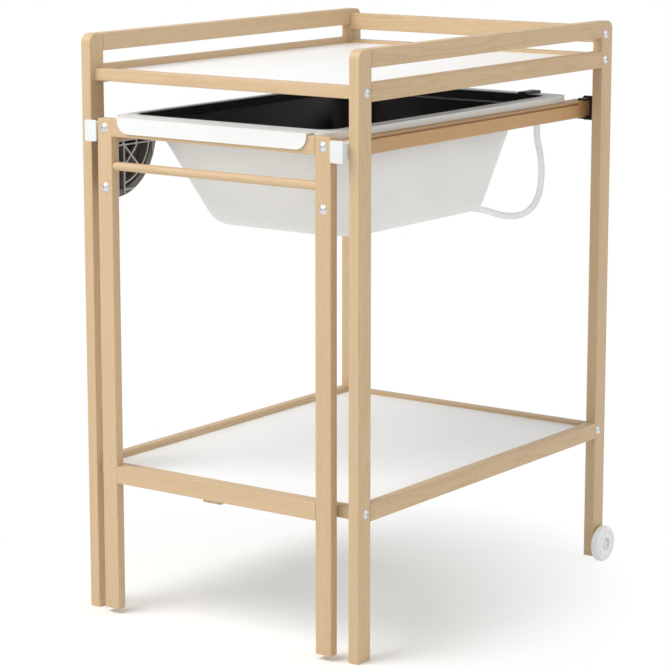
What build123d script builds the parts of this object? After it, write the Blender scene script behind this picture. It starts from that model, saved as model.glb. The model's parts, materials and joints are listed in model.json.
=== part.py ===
from build123d import *
import math
import os

# Changing table with a pull-out bathtub. The parent stands at -Y, the long sides run along Y,
# and the bathtub rides out towards -Y on a carriage with two front legs. Lengths are in
# millimetres and heights are above the floor. Pieces that come in pairs are modelled on the
# right-hand side, at +X, and mirrored.

# Table frame
table_height = 1000.0
table_width = 574.0
table_length = 790.0
post_width = 20.0
post_depth = 35.0
post_corner = 16.0
rear_post_lift = 10.0
rail_thick = 20.0
rail_height = 30.0
cross_height = 20.0
cross_depth = 24.0
rear_guard_depth = 20.0
rear_guard_drop = 8.5
top_rail_drop = 68.5
shelf_rail_level = 249.0
wood_ease = 1.6

# Boards
board_thick = 8.0
seat_width = 4.0
board_play = 0.15

# Bolts, barrel nuts, dowels and wood screws
bolt_radius = 3.0
bolt_play = 0.3
bolt_head_radius = 8.0
bolt_head_height = 3.6
bolt_reach = 38.0
bolt_inset = 12.0
socket_radius = 2.3
socket_depth = 2.2
nut_radius = 5.0
nut_length = 13.0
nut_play = 0.15
nut_inset = 30.0
nut_slot = 1.2
thread_play = 0.05
dowel_radius = 3.0
dowel_play = 0.1
dowel_in_post = 8.0
dowel_in_rail = 21.0
dowel_spread = 8.0
screw_radius = 2.0
screw_head_radius = 3.8
screw_head_height = 2.2
screw_grip = 14.0
screw_play = 0.1

# Rear wheels
wheel_radius = 33.0
wheel_width = 16.0
wheel_round = 5.5
wheel_recess_radius = 12.5
wheel_recess_depth = 5.5
wheel_ring_radius = 25.0
wheel_ring_depth = 1.2
wheel_ring_width = 2.0
axle_radius = 4.0
axle_play = 0.06
axle_head_radius = 7.0
axle_head_height = 2.6
axle_end_play = 0.3
washer_radius = 9.0
washer_thick = 2.4
lock_nut_radius = 6.5
lock_nut_height = 5.0

# Pull-out carriage
leg_width = 31.0
leg_thick = 18.0
leg_foot = 8.5
carriage_drop = 138.0
leg_corner = 5.0
leg_lead = 13.5
leg_rise = 8.0
leg_side_gap = 25.0
carriage_rail_clear = 1.0
carriage_bar_height = 30.0
rear_bar_thick = 20.0
rear_bar_inset = 43.0
towel_bar_radius = 7.5
towel_bar_drop = 80.0
towel_bar_seat = 8.0
upper_bolt_drop = 16.0
carriage_nut_length = 11.0
carriage_nut_inset = 26.0
slot_drop = 4.6
slot_height = 4.0
slot_depth = 5.0
slot_rear_margin = 38.0

# Ribbed quarter brace in the corner between the left leg and its carriage rail. Its ring turns
# about a centre on the leg's back, a little above the rail's underside.
brace_radius = 105.0
brace_rise = 8.4
brace_depth = 22.0
brace_side_gap = 2.0
brace_web = 2.6
brace_wall = 3.0
brace_rib = 2.6
brace_band = 11.5
brace_band_drop = 3.0
brace_rib_inset = 3.0
brace_ring_inset = 19.0
brace_main_rib = 17.5
brace_cross_rib = 49.5
brace_cross_start = 21.5
brace_fastening_inset = 18.0
brace_bolt_reach = 28.0
brace_pocket = 13.0
brace_hole = 5.0
brace_hole_place = (69.0, 31.0)
hex_nut_radius = 5.6
hex_nut_height = 5.0
bolt_tail = 2.0

# Guides for the carriage rails
guide_gap = 0.5
guide_plate_height = 36.0
guide_plate_thick = 3.0
guide_body_height = 26.0
guide_drop = 14.0
guide_lead = 16.5
guide_round = 3.5
guide_back_inset = 3.0
guide_screw_pitch = 16.0
guide_counterbore = 11.0
tongue_length = 24.0
tongue_reach = 4.2
tongue_play = 0.4
cup_thick = 3.2
cup_start = 17.0
cup_plate_height = 44.0
cup_post_lap = 14.0
cup_lip_width = 17.0
cup_lip_depth = 19.0
cup_gap = 0.3
cup_screw_length = 18.0
cup_screw_spread = 13.0

# Block under the front shelf rail
block_width = 36.0
block_offset = 26.0
block_depth = 18.0
block_height = 18.0
block_screw_length = 27.0

# Bathtub
rim_rest = 15.0
rim_rear_gap = 2.0
rim_thick = 3.0
rim_corner = 24.0
rim_gap = 0.5
skirt_thick = 2.6
skirt_gap = 0.2
lip_side_gap = 15.0
lip_drop = 27.0
lip_corner = 22.0
tray_side_margin = 22.0
tray_front_margin = 27.0
tray_rear_margin = 38.0
tray_corner = 26.0
tray_depth = 15.0
tub_wall = 2.6
ledge_side = 4.0
ledge_front = 5.0
ledge_rear = 44.0
mouth_corner = 82.0
basin_depth = 196.5
floor_side_draw = 58.0
floor_front_draw = 150.0
floor_rear_draw = 66.0
floor_corner = 62.0
floor_round = 16.0
liner_wall = 1.6
liner_gap = 0.4
bead_width = 5.0
bead_height = 1.2
cut_over = 2.0

# Drain
drain_inset = 54.0
drain_radius = 18.0
drain_flange_radius = 27.0
drain_flange_thick = 1.6
drain_bore_radius = 13.0
drain_tail = 9.0
drain_play = 0.3
drain_nut_radius = 24.0
drain_nut_height = 6.0
elbow_height = 17.0
elbow_wall = 2.5
spigot_radius = 7.5
spigot_bore_radius = 4.5
spigot_across = 20.0
spigot_along = 43.0
plug_gap = 0.2
plug_cap_radius = 17.0
plug_cap_thick = 3.0
plug_stem_radius = 12.4
plug_stem_draw = 1.2
plug_stem_length = 7.0
plug_knob_radius = 4.5
plug_knob_height = 9.0

# Drain hose from the spigot, under and behind the tub, up to its hook on the rear rim
hose_radius = 6.0
hose_route = [
    (20.0, 191.0, 651.5),
    (32.0, 216.8, 651.5),
    (54.0, 256.0, 657.0),
    (80.0, 290.0, 652.0),
    (112.0, 322.0, 636.0),
    (142.0, 345.0, 641.0),
    (160.0, 361.0, 669.0),
    (165.0, 368.0, 708.0),
    (159.0, 370.0, 746.0),
    (146.0, 369.0, 782.0),
    (146.0, 369.0, 814.0),
]
hose_fillet_share = 0.45

# Hook that holds the hose's upper end
hook_gap = 0.4
hook_thick = 3.0
hook_width = 18.0
hook_offset = 7.0
hook_drop = 9.0
hook_round = 1.0
socket_wall = 2.0
socket_length = 20.0
socket_inset = 65.0
socket_stand = 13.6
socket_drop = 51.5

# Derived places
half_width = table_width / 2
half_length = table_length / 2
post_inner_x = half_width - post_width
post_inner_y = half_length - post_depth
bolt_y = post_inner_y + bolt_inset
dowel_x = half_width - rail_thick / 2
guard_level = table_height - rail_height / 2
top_rail_level = table_height - top_rail_drop
leg_top = table_height - carriage_drop
carriage_rail_top = leg_top - leg_rise
towel_bar_level = leg_top - towel_bar_drop
leg_front = -half_length - leg_lead
leg_back = leg_front + leg_thick
leg_mid_y = leg_front + leg_thick / 2
leg_outer_x = post_inner_x - leg_side_gap
leg_inner_x = leg_outer_x - leg_width
leg_mid_x = leg_outer_x - leg_width / 2
carriage_rail_bottom = carriage_rail_top - carriage_bar_height
carriage_rail_mid = carriage_rail_top - carriage_bar_height / 2
carriage_rail_rear = half_length - carriage_rail_clear
upper_bolt_level = leg_top - upper_bolt_drop
rear_bar_back = half_length - rear_bar_inset
rear_bar_front = rear_bar_back - rear_bar_thick
slot_level = carriage_rail_top - slot_drop
slot_rear = carriage_rail_rear - slot_rear_margin
brace_centre = carriage_rail_bottom + brace_rise
brace_inner_x = leg_inner_x + brace_side_gap
brace_outer_x = brace_inner_x + brace_depth
brace_ring_radius = brace_radius - brace_ring_inset
brace_fastening = brace_radius - brace_fastening_inset
lower_bolt_level = brace_centre - brace_fastening
guide_level = carriage_rail_top - guide_drop
guide_front = -half_length - guide_lead
guide_inner_x = leg_outer_x + guide_gap
tongue_rear = leg_back + tongue_play + tongue_length
cup_inner_x = leg_inner_x + cup_start
wheel_inner_x = half_width + washer_thick + axle_end_play
wheel_y = half_length - post_depth / 2
rim_top = leg_top + rim_gap + rim_thick
floor_level = rim_top - basin_depth
skirt_bottom = carriage_rail_top + skirt_gap
rim_half_width = leg_inner_x + rim_rest
rim_front = leg_back + rim_gap
rim_rear = rear_bar_back - rim_rear_gap
lip_front = leg_front - rim_gap - skirt_thick
lip_half_width = leg_inner_x - lip_side_gap
tray_half_width = rim_half_width - tray_side_margin
tray_front = rim_front + tray_front_margin
tray_rear = rim_rear - tray_rear_margin
tray_floor = rim_top - tray_depth
mouth_half_width = tray_half_width - ledge_side
mouth_front = tray_front + ledge_front
mouth_rear = tray_rear - ledge_rear
drain_y = mouth_rear - floor_rear_draw - drain_inset
liner_floor = floor_level + tub_wall + liner_gap + liner_wall
flange_top = liner_floor + drain_flange_thick
tail_bottom = floor_level - drain_tail
elbow_bottom = tail_bottom - elbow_height
elbow_mid = elbow_bottom + elbow_height / 2
front_reach = leg_front - bolt_head_height
rear_reach = wheel_y + wheel_radius
origin_shift = -(front_reach + rear_reach) / 2


def block(low, high):
    """A box from its lowest to its highest corner."""
    size = [b - a for a, b in zip(low, high)]
    return Pos(*low) * Box(*size, align=(Align.MIN, Align.MIN, Align.MIN))


def bar(low, high, along):
    """A wooden bar whose long edges are eased."""
    solid = block(low, high)
    return fillet(solid.edges().filter_by(along), wood_ease)


def rod(start, end, radius):
    """A round rod between two points."""
    path = Vector(*end) - Vector(*start)
    place = Plane(origin=Vector(*start), z_dir=path)
    return extrude(place * Circle(radius), path.length)


def pair(solid):
    """A right-hand solid and its left-hand mirror image."""
    return [mirror(solid, about=Plane.YZ), solid]


def dome_bolt(seat, direction, length):
    """A dome-headed bolt with a hex socket: the head sits on seat, the shank runs along direction."""
    dome_radius = (bolt_head_radius**2 + bolt_head_height**2) / (2 * bolt_head_height)
    lid = Pos(0, 0, dome_radius - bolt_head_height) * Sphere(dome_radius)
    size = 2 * dome_radius
    head = lid & Box(size, size, size, align=(Align.CENTER, Align.CENTER, Align.MAX))
    head -= Pos(0, 0, -bolt_head_height) * extrude(RegularPolygon(socket_radius, 6), socket_depth)
    shank = Cylinder(bolt_radius, length, align=(Align.CENTER, Align.CENTER, Align.MIN))
    return Plane(origin=Vector(*seat), z_dir=Vector(*direction)) * (head + shank)


def pan_screw(seat, direction, length):
    """A wood screw with a low round head on seat, its shank along direction."""
    head = Cylinder(screw_head_radius, screw_head_height, align=(Align.CENTER, Align.CENTER, Align.MAX))
    head = fillet(head.edges().sort_by(Axis.Z)[0], screw_head_height / 2)
    shank = Cylinder(screw_radius, length, align=(Align.CENTER, Align.CENTER, Align.MIN))
    return Plane(origin=Vector(*seat), z_dir=Vector(*direction)) * (head + shank)


def barrel_nut(centre, length, turn):
    """An upright barrel nut with a cross hole for its bolt and a slot in its lower end."""
    across = 2 * (nut_radius + cut_over)
    hole = turn * Cylinder(bolt_radius + thread_play, across)
    slot = Pos(0, 0, -length / 2) * Box(across, nut_slot, 2 * nut_slot)
    return Pos(*centre) * (Cylinder(nut_radius, length) - hole - slot)


# Joint places of the table frame
side_rail_levels = {"guard_rail": guard_level, "top_rail": top_rail_level, "shelf_rail": shelf_rail_level}
rear_guard_level = guard_level - rear_guard_drop
front_bolt_levels = [top_rail_level, shelf_rail_level]
rear_bolt_levels = [rear_guard_level, top_rail_level, shelf_rail_level]
bolt_levels = {-1: front_bolt_levels, 1: rear_bolt_levels}


def frame_dowels(end, levels, radius, extra):
    """Dowels along Y between a right-hand post and its side rails, two for each rail."""
    low_y = end * (post_inner_y - dowel_in_rail - extra)
    high_y = end * (post_inner_y + dowel_in_post + extra)
    heights = [level + shift for level in levels for shift in (-dowel_spread, dowel_spread)]
    return [rod((dowel_x, low_y, z), (dowel_x, high_y, z), radius) for z in heights]


def post(end):
    """A right-hand post, in front for end -1 and at the rear for end 1."""
    foot = 0 if end < 0 else rear_post_lift
    near, far = sorted((end * post_inner_y, end * half_length))
    solid = block((post_inner_x, near, foot), (half_width, far, table_height))
    top_edges = solid.edges().filter_by(Axis.X).group_by(Axis.Z)[-1]
    solid = fillet(top_edges.sort_by(Axis.Y)[0 if end < 0 else -1], post_corner)
    rims = solid.faces().sort_by(Axis.X)
    solid = fillet(rims[0].edges() + rims[-1].edges(), wood_ease)
    for z in bolt_levels[end]:
        ends_x = (post_inner_x - cut_over, half_width + cut_over)
        solid -= rod((ends_x[0], end * bolt_y, z), (ends_x[1], end * bolt_y, z), bolt_radius + bolt_play)
    for hole in frame_dowels(end, side_rail_levels.values(), dowel_radius + dowel_play, dowel_play):
        solid -= hole
    return solid


def front_post():
    solid = post(-1)
    for seat in guide_screw_seats():
        solid -= rod(seat, guide_screw_tip(seat, screw_play), screw_radius + screw_play)
    return solid


def rear_post():
    solid = post(1)
    axle_ends = [(x, wheel_y, wheel_radius) for x in (post_inner_x - cut_over, half_width + cut_over)]
    solid -= rod(*axle_ends, axle_radius + axle_play)
    for seat in cup_screw_seats():
        tip = (seat[0], seat[1] - cup_screw_length - screw_play, seat[2])
        solid -= rod(seat, tip, screw_radius + screw_play)
    return solid


def board_seats(low, high):
    """Rebates, open above, that the boards' edges lie in, over a stretch in X and Y."""
    under = board_thick / 2 + board_play
    over = rail_height / 2 + cut_over
    return [block((*low, z - under), (*high, z + over)) for z in (top_rail_level, shelf_rail_level)]


def side_rail(name):
    """A right-hand side rail between the front and the rear post."""
    z = side_rail_levels[name]
    inner = half_width - rail_thick
    low = (inner, -post_inner_y, z - rail_height / 2)
    high = (half_width, post_inner_y, z + rail_height / 2)
    solid = bar(low, high, Axis.Y)
    for end in (-1, 1):
        for hole in frame_dowels(end, [z], dowel_radius + dowel_play, dowel_play):
            solid -= hole
    if name != "guard_rail":
        reach = inner + seat_width + board_play
        for cut in board_seats((inner - cut_over, -half_length), (reach, half_length)):
            solid -= cut
    return solid


def cross_rail(end, z, depth, height):
    """A rail across the table, bolted through the posts into barrel nuts near its ends."""
    near, far = sorted((end * post_inner_y, end * (post_inner_y + depth)))
    solid = bar((-post_inner_x, near, z - height / 2), (post_inner_x, far, z + height / 2), Axis.X)
    y = end * bolt_y
    tip = post_inner_x - bolt_reach - cut_over
    bolt_hole = rod((post_inner_x + cut_over, y, z), (tip, y, z), bolt_radius + bolt_play)
    nut_x = post_inner_x - nut_inset
    nut_top = z + nut_length / 2 + nut_play
    nut_hole = rod((nut_x, y, z - height / 2 - cut_over), (nut_x, y, nut_top), nut_radius + nut_play)
    for hole in pair(bolt_hole) + pair(nut_hole):
        solid -= hole
    return solid


def seat_rail(end, z):
    """A cross rail with a rebate for its board, which runs out at both ends."""
    solid = cross_rail(end, z, cross_depth, cross_height)
    mouth = end * (post_inner_y - cut_over)
    back = end * (post_inner_y + seat_width + board_play)
    for cut in board_seats((-half_width, min(mouth, back)), (half_width, max(mouth, back))):
        solid -= cut
    return solid


def board(z):
    """A board that lies in the rebates of four rails, notched round the posts."""
    half_x = post_inner_x + seat_width
    half_y = post_inner_y + seat_width
    notch_x, notch_y = post_inner_x - board_play, post_inner_y - board_play
    low_z, high_z = z - board_thick / 2, z + board_thick / 2
    wide = block((-half_x, -notch_y, low_z), (half_x, notch_y, high_z))
    long = block((-notch_x, -half_y, low_z), (notch_x, half_y, high_z))
    return wide + long


def frame_bolts():
    """Bolts through the posts into the cross rails."""
    length = post_width + bolt_reach
    solids = []
    for end, levels in bolt_levels.items():
        for z in levels:
            solids += pair(dome_bolt((half_width, end * bolt_y, z), (-1, 0, 0), length))
    return solids


def frame_nuts():
    solids = []
    for end, levels in bolt_levels.items():
        for z in levels:
            centre = (post_inner_x - nut_inset, end * bolt_y, z)
            solids += pair(barrel_nut(centre, nut_length, Rotation(0, 90, 0)))
    return solids


def all_frame_dowels():
    solids = []
    for end in (-1, 1):
        for dowel in frame_dowels(end, side_rail_levels.values(), dowel_radius, 0):
            solids += pair(dowel)
    return solids


def rail_block():
    """A small block under the front shelf rail."""
    top = shelf_rail_level - cross_height / 2
    back = -post_inner_y - (cross_depth - block_depth) / 2
    low = (-block_offset - block_width / 2, back - block_depth, top - block_height)
    high = (-block_offset + block_width / 2, back, top)
    solid = bar(low, high, Axis.X)
    for seat in block_screw_seats():
        solid -= rod(seat, (seat[0], seat[1], top + cut_over), screw_radius + screw_play)
    return solid


def block_screw_seats():
    y = -post_inner_y - cross_depth / 2
    z = shelf_rail_level - cross_height / 2 - block_height
    return [(-block_offset + shift, y, z) for shift in (-block_width / 4, block_width / 4)]


def front_shelf_rail():
    solid = seat_rail(-1, shelf_rail_level)
    for seat in block_screw_seats():
        tip = (seat[0], seat[1], seat[2] + block_screw_length + screw_play)
        solid -= rod(seat, tip, screw_radius + screw_play)
    return solid


def wheel():
    """A solid plastic wheel with a rounded tread, a hub recess and a shallow ring on its face."""
    bore = axle_radius + axle_play
    recess_floor = wheel_width - wheel_recess_depth
    solid = Cylinder(wheel_radius, wheel_width, align=(Align.CENTER, Align.CENTER, Align.MIN))
    solid = fillet(solid.edges(), wheel_round)
    solid -= Cylinder(bore, wheel_width, align=(Align.CENTER, Align.CENTER, Align.MIN))
    recess = extrude(Circle(wheel_recess_radius), wheel_recess_depth)
    solid -= Pos(0, 0, recess_floor) * recess
    ring = Circle(wheel_ring_radius) - Circle(wheel_ring_radius - wheel_ring_width)
    solid -= Pos(0, 0, wheel_width - wheel_ring_depth) * extrude(ring, wheel_ring_depth + cut_over)
    return Plane(origin=(wheel_inner_x, wheel_y, wheel_radius), z_dir=(1, 0, 0)) * solid


def axle_parts():
    """A headed pin through the hub and the post, a washer beside the wheel and a lock nut inside."""
    head_seat = wheel_inner_x + wheel_width - wheel_recess_depth + axle_end_play
    tail = post_inner_x - lock_nut_height
    ends_x = (tail, head_seat, head_seat + axle_head_height)
    points = [(x, wheel_y, wheel_radius) for x in ends_x]
    head = rod(points[1], points[2], axle_head_radius)
    head = fillet(head.edges().sort_by(Axis.X)[-1], axle_head_height / 2)
    pin = rod(points[0], points[1], axle_radius) + head
    bore = Circle(axle_radius + thread_play)
    washer_place = Plane(origin=(half_width, wheel_y, wheel_radius), z_dir=(1, 0, 0))
    washer = extrude(washer_place * (Circle(washer_radius) - bore), washer_thick)
    nut_place = Plane(origin=(tail, wheel_y, wheel_radius), z_dir=(1, 0, 0))
    nut = extrude(nut_place * (RegularPolygon(lock_nut_radius, 6) - bore), lock_nut_height)
    return [pin, washer, nut]


def guide_screw_seats():
    middle = -half_length + post_depth / 2
    x = guide_inner_x + guide_counterbore
    return [(x, middle + shift, guide_level) for shift in (-guide_screw_pitch / 2, guide_screw_pitch / 2)]


def guide_screw_tip(seat, extra):
    return (post_inner_x + screw_grip + extra, seat[1], seat[2])


def slide_guide():
    """White front guide: a block on the post whose tongue runs in the slot of the carriage rail."""
    plate_low = (guide_inner_x, guide_front, guide_level - guide_plate_height / 2)
    plate_high = (post_inner_x, guide_front + guide_plate_thick, guide_level + guide_plate_height / 2)
    plate = block(plate_low, plate_high)
    plate = fillet(plate.edges().filter_by(Axis.Y), guide_round)
    body_low = (guide_inner_x, guide_front + guide_plate_thick, guide_level - guide_body_height / 2)
    body_high = (post_inner_x, -post_inner_y - guide_back_inset, guide_level + guide_body_height / 2)
    solid = plate + block(body_low, body_high)
    half_tongue = slot_height / 2 - tongue_play
    tongue_low = (guide_inner_x - tongue_reach, tongue_rear - tongue_length, slot_level - half_tongue)
    tongue_high = (guide_inner_x, tongue_rear, slot_level + half_tongue)
    solid += block(tongue_low, tongue_high)
    for seat in guide_screw_seats():
        solid -= rod((guide_inner_x - cut_over, *seat[1:]), seat, screw_head_radius + screw_play)
        solid -= rod(seat, guide_screw_tip(seat, 0), screw_radius + screw_play)
    return solid


def guide_screw(seat):
    head_seat = (seat[0] - screw_play, *seat[1:])
    return pan_screw(seat, (1, 0, 0), guide_screw_tip(head_seat, 0)[0] - seat[0])


def cup_screw_seats():
    x = post_inner_x + cup_post_lap / 2
    heights = [carriage_rail_mid + shift for shift in (-cup_screw_spread, cup_screw_spread)]
    return [(x, half_length + cup_thick, z) for z in heights]


def rear_guide():
    """Black rear guide: a plate on the post's back with a lip under and a lip over the rail's end."""
    low = (cup_inner_x, half_length, carriage_rail_mid - cup_plate_height / 2)
    high = (post_inner_x + cup_post_lap, half_length + cup_thick, carriage_rail_mid + cup_plate_height / 2)
    plate = block(low, high)
    solid = fillet(plate.edges().filter_by(Axis.Y), guide_round)
    for z in (carriage_rail_bottom - cup_gap - cup_thick, carriage_rail_top + cup_gap):
        lip_low = (cup_inner_x, half_length - cup_lip_depth, z)
        lip_high = (cup_inner_x + cup_lip_width, half_length + cup_thick / 2, z + cup_thick)
        solid += block(lip_low, lip_high)
    for seat in cup_screw_seats():
        solid -= rod(seat, (seat[0], half_length - cut_over, seat[2]), screw_radius + screw_play)
    return solid


# Crossbars of the carriage: the middle height and the front face of each
crossbars = {
    "front": (leg_top - carriage_bar_height / 2, leg_front, leg_thick),
    "lower": (shelf_rail_level, leg_front, leg_thick),
    "rear": (carriage_rail_mid, rear_bar_front, rear_bar_thick),
}


def crossbar_dowels(name, radius, extra):
    """Dowels along X at the right-hand end of a carriage crossbar."""
    level, front, thick = crossbars[name]
    y = front + thick / 2
    ends_x = (leg_inner_x - dowel_in_rail - extra, leg_inner_x + dowel_in_post + extra)
    heights = [level + shift for shift in (-dowel_spread, dowel_spread)]
    return [rod((ends_x[0], y, z), (ends_x[1], y, z), radius) for z in heights]


def carriage_bar(name):
    level, front, thick = crossbars[name]
    half = carriage_bar_height / 2
    solid = bar((-leg_inner_x, front, level - half), (leg_inner_x, front + thick, level + half), Axis.X)
    for dowel in crossbar_dowels(name, dowel_radius + dowel_play, dowel_play):
        for hole in pair(dowel):
            solid -= hole
    return solid


def carriage_leg():
    solid = block((leg_inner_x, leg_front, leg_foot), (leg_outer_x, leg_back, leg_top))
    top_edges = solid.edges().filter_by(Axis.Y).group_by(Axis.Z)[-1]
    solid = fillet(top_edges.sort_by(Axis.X)[-1], leg_corner)
    rims = solid.faces().sort_by(Axis.Y)
    solid = fillet(rims[0].edges() + rims[-1].edges(), wood_ease)
    for z in (upper_bolt_level, lower_bolt_level):
        ends_y = (leg_front - cut_over, leg_back + cut_over)
        solid -= rod((leg_mid_x, ends_y[0], z), (leg_mid_x, ends_y[1], z), bolt_radius + bolt_play)
    for name in ("front", "lower"):
        for hole in crossbar_dowels(name, dowel_radius + dowel_play, dowel_play):
            solid -= hole
    mouth = (leg_inner_x - cut_over, leg_mid_y, towel_bar_level)
    seat = (leg_inner_x + towel_bar_seat + dowel_play, leg_mid_y, towel_bar_level)
    return solid - rod(mouth, seat, towel_bar_radius + dowel_play)


def carriage_rail():
    """A carriage side rail. The slot in its outer face runs out in front and ends at a stop."""
    low = (leg_inner_x, leg_back, carriage_rail_bottom)
    high = (leg_outer_x, carriage_rail_rear, carriage_rail_top)
    solid = bar(low, high, Axis.Y)
    slot_low = (leg_outer_x - slot_depth, leg_back - cut_over, slot_level - slot_height / 2)
    slot_high = (leg_outer_x + cut_over, slot_rear, slot_level + slot_height / 2)
    solid -= block(slot_low, slot_high)
    tip = leg_back + bolt_reach + cut_over
    bolt_ends = [(leg_mid_x, y, upper_bolt_level) for y in (leg_back - cut_over, tip)]
    solid -= rod(*bolt_ends, bolt_radius + bolt_play)
    nut_y = leg_back + carriage_nut_inset
    nut_top = upper_bolt_level + carriage_nut_length / 2 + nut_play
    nut_ends = [(leg_mid_x, nut_y, z) for z in (carriage_rail_bottom - cut_over, nut_top)]
    solid -= rod(*nut_ends, nut_radius + nut_play)
    for hole in crossbar_dowels("rear", dowel_radius + dowel_play, dowel_play):
        solid -= hole
    return solid


def towel_bar():
    reach = leg_inner_x + towel_bar_seat
    return rod((-reach, leg_mid_y, towel_bar_level), (reach, leg_mid_y, towel_bar_level), towel_bar_radius)


def brace_screw_seat():
    return (leg_mid_x, leg_back + brace_fastening, carriage_rail_bottom - brace_wall)


def brace_screw_hole():
    seat = brace_screw_seat()
    tip = (*seat[:2], carriage_rail_bottom + screw_grip + screw_play)
    return rod(seat, tip, screw_radius + screw_play)


def brace_sheet(low, high):
    """A rectangle in the brace's own plane."""
    middle = [(a + b) / 2 for a, b in zip(low, high)]
    return Pos(*middle) * Rectangle(high[0] - low[0], high[1] - low[1])


def brace_ribs():
    """The brace's ribs and walls, drawn on u, away from the leg, and w, down from its centre."""
    top, size, half = brace_rise, brace_radius + cut_over, brace_rib / 2
    ribs = brace_sheet((0, 0), (brace_wall, size)) + brace_sheet((0, top), (size, top + brace_wall))
    main = brace_main_rib
    ribs += brace_sheet((main - half, 0), (main + half, size))
    ribs += brace_sheet((0, main - half), (size, main + half))
    ring = Circle(brace_ring_radius) - Circle(brace_ring_radius - brace_rib)
    ribs += ring & brace_sheet((main, main), (size, size))
    stay = brace_fastening + brace_pocket / 2
    ribs += brace_sheet((main, stay - half), (size, stay + half))
    ribs += brace_sheet((stay - half, main), (stay + half, size))
    start, across = brace_cross_start, brace_cross_rib
    cross = trace(Polyline((across, 0), (across, start), (start, across), (0, across)), brace_rib)
    diagonal = Rotation(0, 0, 45) * brace_sheet((main, -half), (brace_ring_radius, half))
    return ribs + cross + diagonal


def brace():
    """Moulded quarter brace, open towards the table's middle: a web, a thick band, a ring and ribs."""
    size = brace_radius + cut_over
    outline = Circle(brace_radius) & brace_sheet((0, brace_rise), (size, size))
    band = outline & (Circle(brace_radius) - Circle(brace_radius - brace_band))
    solid = extrude(outline, brace_web) + extrude(band, brace_depth - brace_band_drop)
    rib_field = outline & Circle(brace_radius - brace_rib_inset)
    solid += extrude(rib_field & brace_ribs(), brace_depth)
    hole = Pos(*brace_hole_place) * Rectangle(brace_hole, brace_hole)
    solid -= extrude(hole, brace_depth)
    place = Plane(origin=(brace_outer_x, leg_back, brace_centre), x_dir=(0, 1, 0), z_dir=(-1, 0, 0))
    solid = place * solid
    bolt_ends = (leg_back - cut_over, leg_back + brace_bolt_reach + bolt_play)
    bolt_hole = [(leg_mid_x, y, lower_bolt_level) for y in bolt_ends]
    solid -= rod(*bolt_hole, bolt_radius + bolt_play)
    seat = brace_screw_seat()
    solid -= rod(seat, (*seat[:2], carriage_rail_bottom + cut_over), screw_radius + screw_play)
    access = brace_centre - brace_main_rib - brace_rib
    return solid - rod((*seat[:2], access), seat, screw_head_radius + screw_play)


def leg_bolt(level, reach):
    return dome_bolt((leg_mid_x, leg_front, level), (0, 1, 0), leg_thick + reach)


def carriage_bolts():
    """Bolts through the legs: the upper two into the side rails, the lower left through the brace."""
    left = mirror(leg_bolt(lower_bolt_level, brace_bolt_reach), about=Plane.YZ)
    right = leg_bolt(lower_bolt_level, hex_nut_height + bolt_tail)
    return pair(leg_bolt(upper_bolt_level, bolt_reach)) + [left, right]


def hex_nut(front):
    """A nut on a lower bolt, with its front face at a place along Y."""
    place = Plane(origin=(leg_mid_x, front, lower_bolt_level), z_dir=(0, 1, 0))
    shape = RegularPolygon(hex_nut_radius, 6) - Circle(bolt_radius + thread_play)
    return extrude(place * shape, hex_nut_height)


def carriage_nuts():
    """Barrel nuts in the side rails, a hex nut in the brace and one on the right leg's back."""
    centre = (leg_mid_x, leg_back + carriage_nut_inset, upper_bolt_level)
    barrel = barrel_nut(centre, carriage_nut_length, Rotation(90, 0, 0))
    left = mirror(hex_nut(leg_back + brace_wall), about=Plane.YZ)
    return pair(barrel) + [left, hex_nut(leg_back)]


def carriage_dowels():
    solids = []
    for name in crossbars:
        for dowel in crossbar_dowels(name, dowel_radius, 0):
            solids += pair(dowel)
    return solids


def rounded_block(half_x, front, rear, radius, bottom, top):
    """An upright prism on a rectangle with rounded corners."""
    shape = Pos(0, (front + rear) / 2, bottom) * RectangleRounded(2 * half_x, rear - front, radius)
    return extrude(shape, top - bottom)


def basin_section(z, inset):
    """The basin's level outline at a height, between its mouth and its floor."""
    down = (tray_floor - z) / (tray_floor - floor_level)
    half_x = mouth_half_width - floor_side_draw * down - inset
    front = mouth_front + floor_front_draw * down + inset
    rear = mouth_rear - floor_rear_draw * down - inset
    corner = mouth_corner + (floor_corner - mouth_corner) * down - inset
    return Pos(0, (front + rear) / 2, z) * RectangleRounded(2 * half_x, rear - front, corner)


def basin(inset, top, bottom):
    """The basin's tapered body, drawn in by inset, with a rounded edge round its floor."""
    solid = loft([basin_section(bottom, inset), basin_section(top, inset)], ruled=True)
    return fillet(solid.edges().group_by(Axis.Z)[0], floor_round - inset)


def tray(inset, bottom, top):
    """The shallow tray above the basin, drawn in by inset."""
    return rounded_block(
        tray_half_width - inset, tray_front + inset, tray_rear - inset, tray_corner - inset, bottom, top)


def drain_hole():
    ends = [(0, drain_y, z) for z in (floor_level - cut_over, tray_floor)]
    return rod(*ends, drain_radius + drain_play)


def bathtub():
    """White shell: a rim with a skirt, a front lip over the bar, a shallow tray and the basin."""
    under = rim_top - rim_thick
    solid = rounded_block(rim_half_width, rim_front, rim_rear, rim_corner, skirt_bottom, rim_top)
    inner_ends = (rim_front + skirt_thick, rim_rear - skirt_thick)
    inner_half, inner_corner = rim_half_width - skirt_thick, rim_corner - skirt_thick
    solid -= rounded_block(inner_half, *inner_ends, inner_corner, skirt_bottom - cut_over, under)
    solid += block((-lip_half_width, lip_front, under), (lip_half_width, rim_front + rim_corner, rim_top))
    lip_back, lip_bottom = lip_front + skirt_thick, rim_top - lip_drop
    lip = block((-lip_half_width, lip_front, lip_bottom), (lip_half_width, lip_back, rim_top))
    solid += fillet(lip.edges().filter_by(Axis.Y).group_by(Axis.Z)[0], lip_corner)
    solid += tray(-tub_wall, tray_floor - tub_wall, rim_top) + basin(0, tray_floor, floor_level)
    solid -= tray(0, tray_floor, rim_top + cut_over)
    solid -= basin(tub_wall, tray_floor + cut_over, floor_level + tub_wall)
    return solid - drain_hole()


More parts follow.
